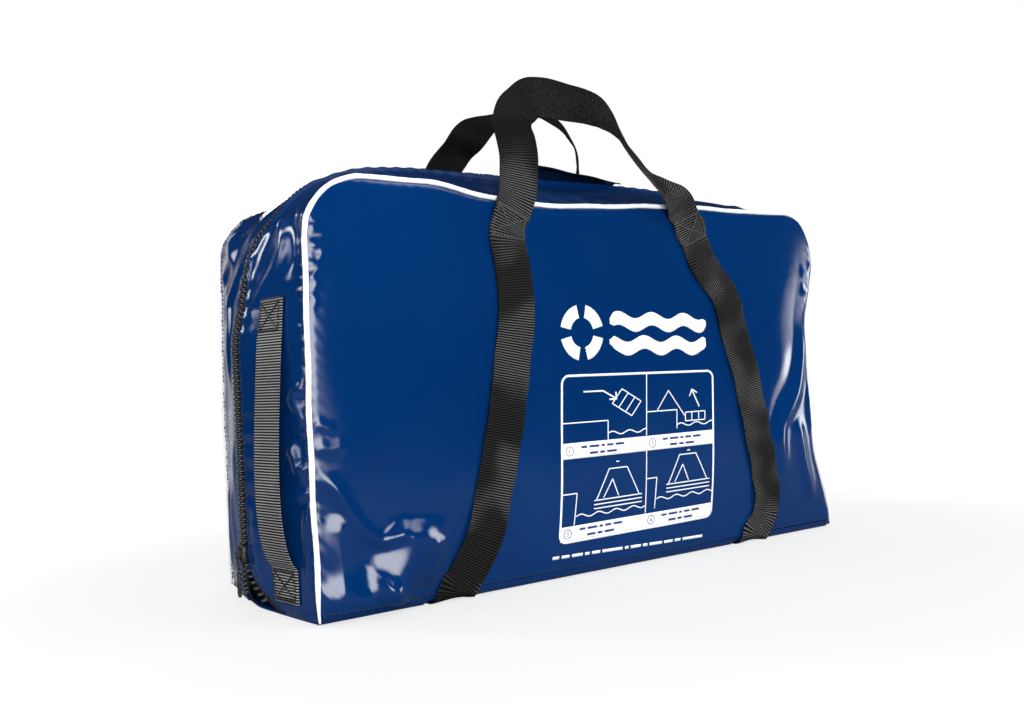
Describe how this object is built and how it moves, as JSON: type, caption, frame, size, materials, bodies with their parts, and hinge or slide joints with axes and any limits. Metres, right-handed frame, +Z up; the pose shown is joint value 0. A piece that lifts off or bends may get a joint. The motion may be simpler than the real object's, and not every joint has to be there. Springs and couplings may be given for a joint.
{
  "type": "liferaft valise",
  "caption": "Soft rectangular valise for a packed liferaft, with white piping, a zip round its gusset, webbing carry loops and end handles.",
  "frame": {"origin": "on the floor under the middle of the bag, on the underside of its base", "axes": "+Z up, +X to the right along the bag's length seen from the front, the front panel faces -Y"},
  "size_m": [0.7385, 0.2624, 0.5529],
  "materials": {
    "shell_cloth": "glossy PVC-coated woven cloth",
    "piping": "white vinyl sleeve over a cord",
    "webbing": "black ribbed nylon webbing",
    "zip_tape": "black woven tape",
    "zip_teeth": "black moulded plastic",
    "zip_metal": "black painted die-cast metal",
    "flap": "coated cloth with a black face",
    "raft": "folded coated cloth"
  },
  "bodies": {
    "valise": {"front_panel": "shell_cloth", "back_panel": "shell_cloth", "base_panel": "shell_cloth", "front_gusset": "shell_cloth", "back_gusset": "shell_cloth", "front_piping": "piping", "back_piping": "piping", "front_strap": "webbing", "back_strap": "webbing", "left_end_handle": "webbing", "right_end_handle": "webbing", "zip_tape_front": "zip_tape", "zip_tape_back": "zip_tape", "zip_chain": "zip_teeth", "zip_row_front": "zip_teeth", "zip_row_back": "zip_teeth", "top_flap": "flap", "packed_raft": "raft"},
    "slider": {"zip_slider": "zip_metal"},
    "pull": {"zip_pull": "zip_metal"}
  },
  "joints": [
    {"name": "slider_track", "type": "slide", "parent": "valise", "child": "slider", "axis": [0, 0, 1], "range_m": [0, 0.16]},
    {"name": "pull_swing", "type": "hinge", "parent": "slider", "child": "pull", "pos_m": [-0.3687, 0, 0.04965], "axis": [0, 1, 0], "range_deg": [0, 165]}
  ]
}
